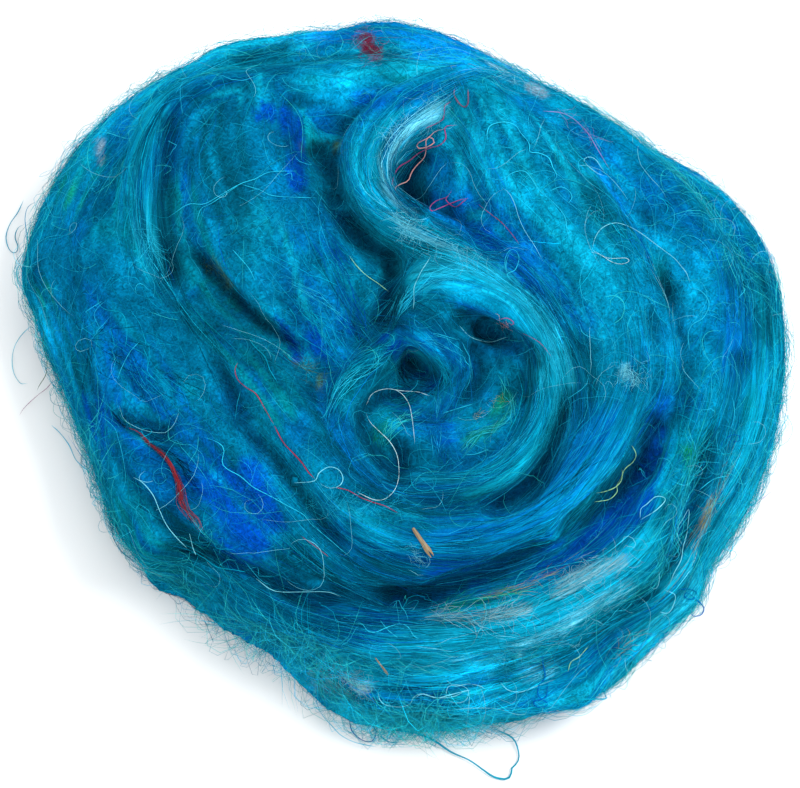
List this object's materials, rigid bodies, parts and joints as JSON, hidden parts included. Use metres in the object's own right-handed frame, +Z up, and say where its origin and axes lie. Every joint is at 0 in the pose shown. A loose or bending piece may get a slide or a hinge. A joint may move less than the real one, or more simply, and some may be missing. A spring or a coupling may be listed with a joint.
{
  "type": "recycled sari silk fibre",
  "caption": "Loose nest of hand-wound recycled silk sliver: soft overlapping turns, a hairpin and a rosette on top, stray threads, flat underside. For spinning, felting and trimming.",
  "frame": {"origin": "on the table, under the middle of the nest's outline", "axes": "+Z up from the table, +X to the viewer's right, +Y away from the viewer"},
  "size_m": [0.19, 0.1922, 0.0505],
  "materials": {
    "silk_fibre": "soft lustrous silk waste, turquoise and blue fibres laid along the turns, with stray coloured threads"
  },
  "bodies": {
    "root": {"silk_nest": "silk_fibre"}
  },
  "joints": []
}
